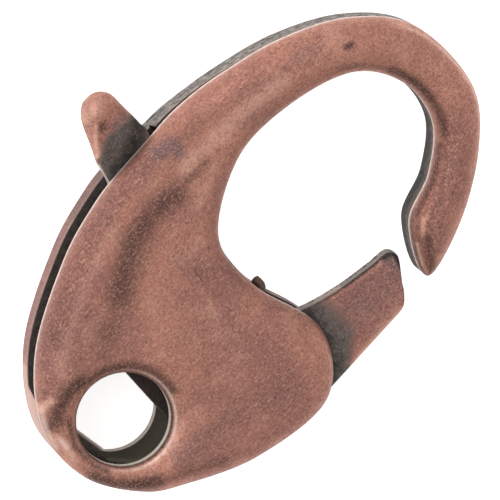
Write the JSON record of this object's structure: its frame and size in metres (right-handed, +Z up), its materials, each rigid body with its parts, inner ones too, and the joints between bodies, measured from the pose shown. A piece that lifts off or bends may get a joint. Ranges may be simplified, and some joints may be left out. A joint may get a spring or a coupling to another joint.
{
  "type": "lobster clasp",
  "caption": "Stamped lobster clasp with a ring eye at one end, a rounded hook at the other, and a sprung lever whose thumb tab swings the gate in to open the hook.",
  "frame": {"origin": "on the axis of the ring eye, level with the seam between the two shells at the hook", "axes": "+X along the clasp from the ring eye to the hook, +Y towards the thumb tab, +Z up through the front shell and along the ring eye's axis"},
  "size_m": [0.012, 0.0084, 0.0023],
  "materials": {
    "front_shell": "antique copper plate, polished and oxidised",
    "rear_shell": "antique copper plate, polished and oxidised",
    "lever": "antique copper plate, worn",
    "pivot_pin": "plain drawn",
    "spring": "darkened spring wire"
  },
  "bodies": {
    "case": {"front_shell": "front_shell", "rear_shell": "rear_shell", "pivot_pin": "pivot_pin", "spring": "spring"},
    "lever": {"lever": "lever"}
  },
  "joints": [
    {"name": "lever_pivot", "type": "hinge", "parent": "case", "child": "lever", "pos_m": [0.00279, -0.0013, 0], "axis": [0, 0, 1], "range_deg": [0, 24], "stiffness_Nm_per_rad": 0.01, "springref_deg": -20.05, "deforming": ["spring"]}
  ]
}
